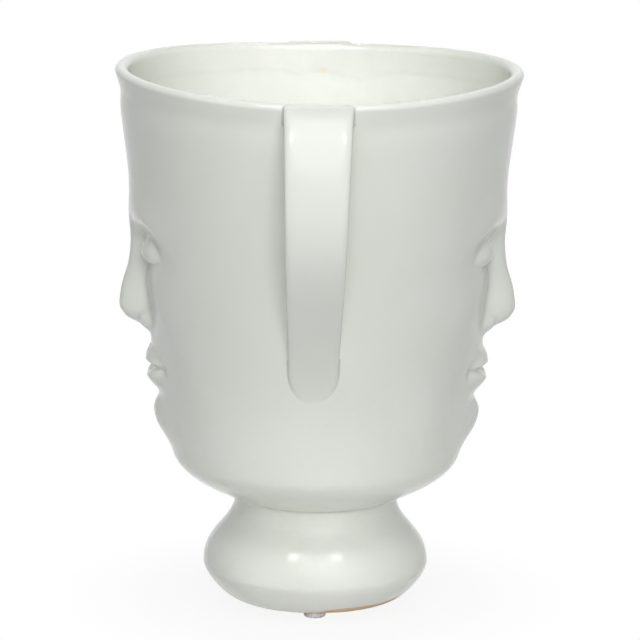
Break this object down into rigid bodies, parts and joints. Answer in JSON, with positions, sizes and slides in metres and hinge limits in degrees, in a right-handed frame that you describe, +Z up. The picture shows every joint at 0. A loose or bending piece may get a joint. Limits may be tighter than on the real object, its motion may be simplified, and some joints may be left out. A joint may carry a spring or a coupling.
{
  "type": "face planter",
  "caption": "Glazed ceramic urn planter with a calm face in relief on either side, strap handles, a rolled rim, a flared pedestal foot and bumper pads.",
  "frame": {"origin": "on the table, under the middle of the foot: centre of the bounding box's bottom", "axes": "+Z up; +X and -X are the ways the two faces look; the handles stand at -Y (front) and +Y (back)"},
  "size_m": [0.18, 0.2376, 0.2427],
  "materials": {
    "glaze": "glossy off-white glaze, unglazed on the foot ring",
    "clear_pad": "clear soft bumper, semi-gloss"
  },
  "bodies": {
    "root": {"bowl": "glaze", "pedestal_foot": "glaze", "front_handle": "glaze", "back_handle": "glaze", "bumper_pad_right": "clear_pad", "bumper_pad_back": "clear_pad", "bumper_pad_left": "clear_pad", "bumper_pad_front": "clear_pad"}
  },
  "joints": []
}
